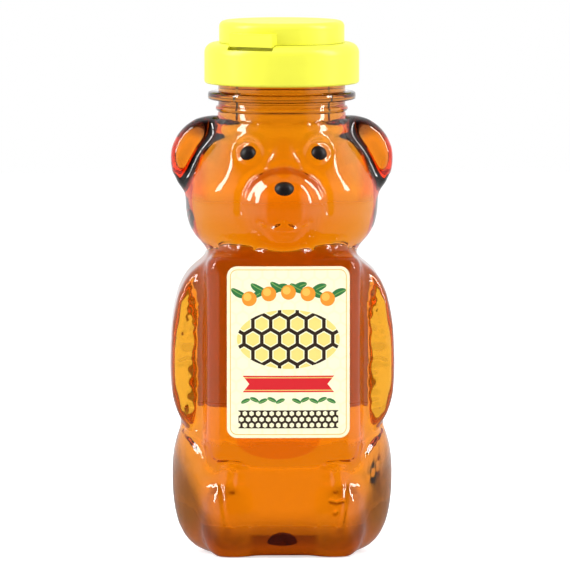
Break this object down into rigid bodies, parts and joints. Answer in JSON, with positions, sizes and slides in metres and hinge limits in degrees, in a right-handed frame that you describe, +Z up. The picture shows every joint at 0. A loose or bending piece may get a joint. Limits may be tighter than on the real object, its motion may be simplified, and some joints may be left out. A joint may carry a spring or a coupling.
{
  "type": "honey bear bottle",
  "caption": "Clear squeeze bottle shaped like a sitting bear, full of honey, with paper labels and a yellow screw cap that has a flip lid over its spout.",
  "frame": {"origin": "centre of the base on the surface that the bottle stands on", "axes": "+Z up along the bottle's axis, the bear faces -Y, +X is the viewer's right when the bear's face is seen from the front"},
  "size_m": [0.0622, 0.0534, 0.1476],
  "materials": {
    "clear_pet": "clear, glossy PET",
    "honey": "clear amber honey",
    "black_ink": "glossy printed ink",
    "label_paper": "coated paper with a varnish",
    "back_label_paper": "coated paper",
    "liner_foam": "white foam",
    "yellow_cap": "satin polypropylene"
  },
  "bodies": {
    "bottle": {"bottle": "clear_pet", "honey": "honey", "left_eye": "black_ink", "right_eye": "black_ink", "nose": "black_ink", "front_label": "label_paper", "back_label": "back_label_paper"},
    "liner": {"liner": "liner_foam"},
    "screw_cap": {"cap_base": "yellow_cap", "living_hinge": "yellow_cap"},
    "lid": {"flip_lid": "yellow_cap"}
  },
  "joints": [
    {"name": "cap_lift", "type": "slide", "parent": "bottle", "child": "liner", "axis": [0, 0, 1], "range_m": [0, 0.00436]},
    {"name": "cap_turn", "type": "hinge", "parent": "liner", "child": "screw_cap", "pos_m": [0, 0, 0.139], "axis": [0, 0, 1], "range_deg": [0, 370]},
    {"name": "lid_flip", "type": "hinge", "parent": "screw_cap", "child": "lid", "pos_m": [0.00962, 0.0181, 0.14155], "axis": [-0.8829, 0.4695, 0], "range_deg": [0, 150], "deforming": ["living_hinge"]}
  ],
  "couplings": [
    {"joint": "cap_lift", "follows": "cap_turn", "m_per_rad": 0.0006737}
  ]
}
